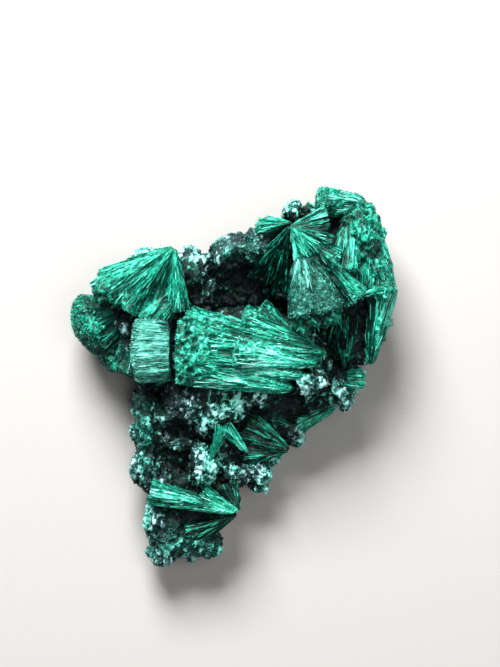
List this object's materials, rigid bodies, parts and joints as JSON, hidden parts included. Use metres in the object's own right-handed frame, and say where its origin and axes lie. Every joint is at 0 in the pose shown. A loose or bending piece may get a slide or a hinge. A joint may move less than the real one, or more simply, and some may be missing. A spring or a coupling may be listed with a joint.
{
  "type": "mineral specimen",
  "caption": "Fibrous green malachite specimen: radiating sprays and domed bundles of fibres on dark craggy matrix.",
  "frame": {"origin": "under the middle of the stone's bounding box, on the plane that it rests on", "axes": "+X to the right of the stone's face, +Y up the face along its longest side, +Z out of the face and up as it lies"},
  "size_m": [0.031, 0.0362, 0.0136],
  "materials": {
    "malachite": "green fibrous mineral with a silky to velvety shine, on blackish-green matrix"
  },
  "bodies": {
    "root": {"malachite": "malachite"}
  },
  "joints": []
}
